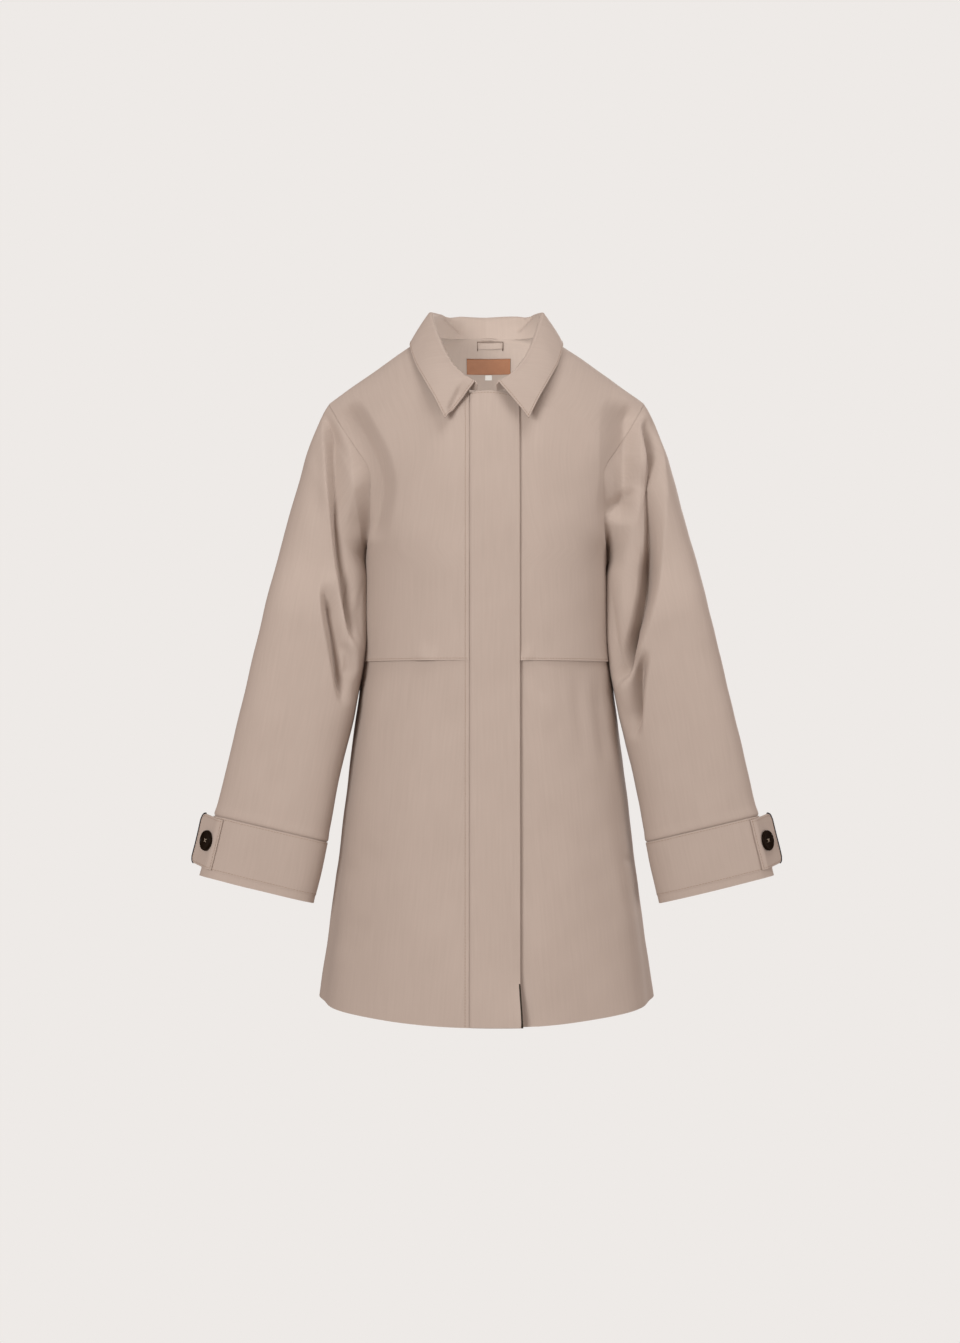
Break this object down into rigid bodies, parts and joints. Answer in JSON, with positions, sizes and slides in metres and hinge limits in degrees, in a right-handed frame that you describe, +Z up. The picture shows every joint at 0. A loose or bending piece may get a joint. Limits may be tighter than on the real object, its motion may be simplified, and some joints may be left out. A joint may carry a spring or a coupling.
{
  "type": "raincoat",
  "caption": "A-line raincoat with a turned-down collar, storm flaps over the chest, a covered front fastening and buttoned cuff tabs, hollow as worn.",
  "frame": {"origin": "inside the neck, midway between the shoulders and level with the neck points, where a wearer holds the coat up", "axes": "+Z up, the front faces -Y, +X towards the wearer's left sleeve"},
  "size_m": [0.7292, 0.3041, 0.8731],
  "materials": {
    "twill": "matt taupe-beige cotton twill",
    "leather": "smooth tan leather",
    "tape": "white woven tape",
    "button": "dark brown horn-like, polished"
  },
  "bodies": {
    "root": {"front_panel_right": "twill", "front_panel_left": "twill", "storm_flap_right": "twill", "storm_flap_left": "twill", "fly_placket": "twill", "back_panel": "twill", "sleeve_right": "twill", "sleeve_left": "twill", "cuff_band_right": "twill", "cuff_band_left": "twill", "cuff_tab_right": "twill", "cuff_tab_left": "twill", "collar": "twill", "hanger_loop": "twill", "neck_label": "leather", "size_tab": "tape", "cuff_button_right": "button", "cuff_button_left": "button"}
  },
  "joints": []
}
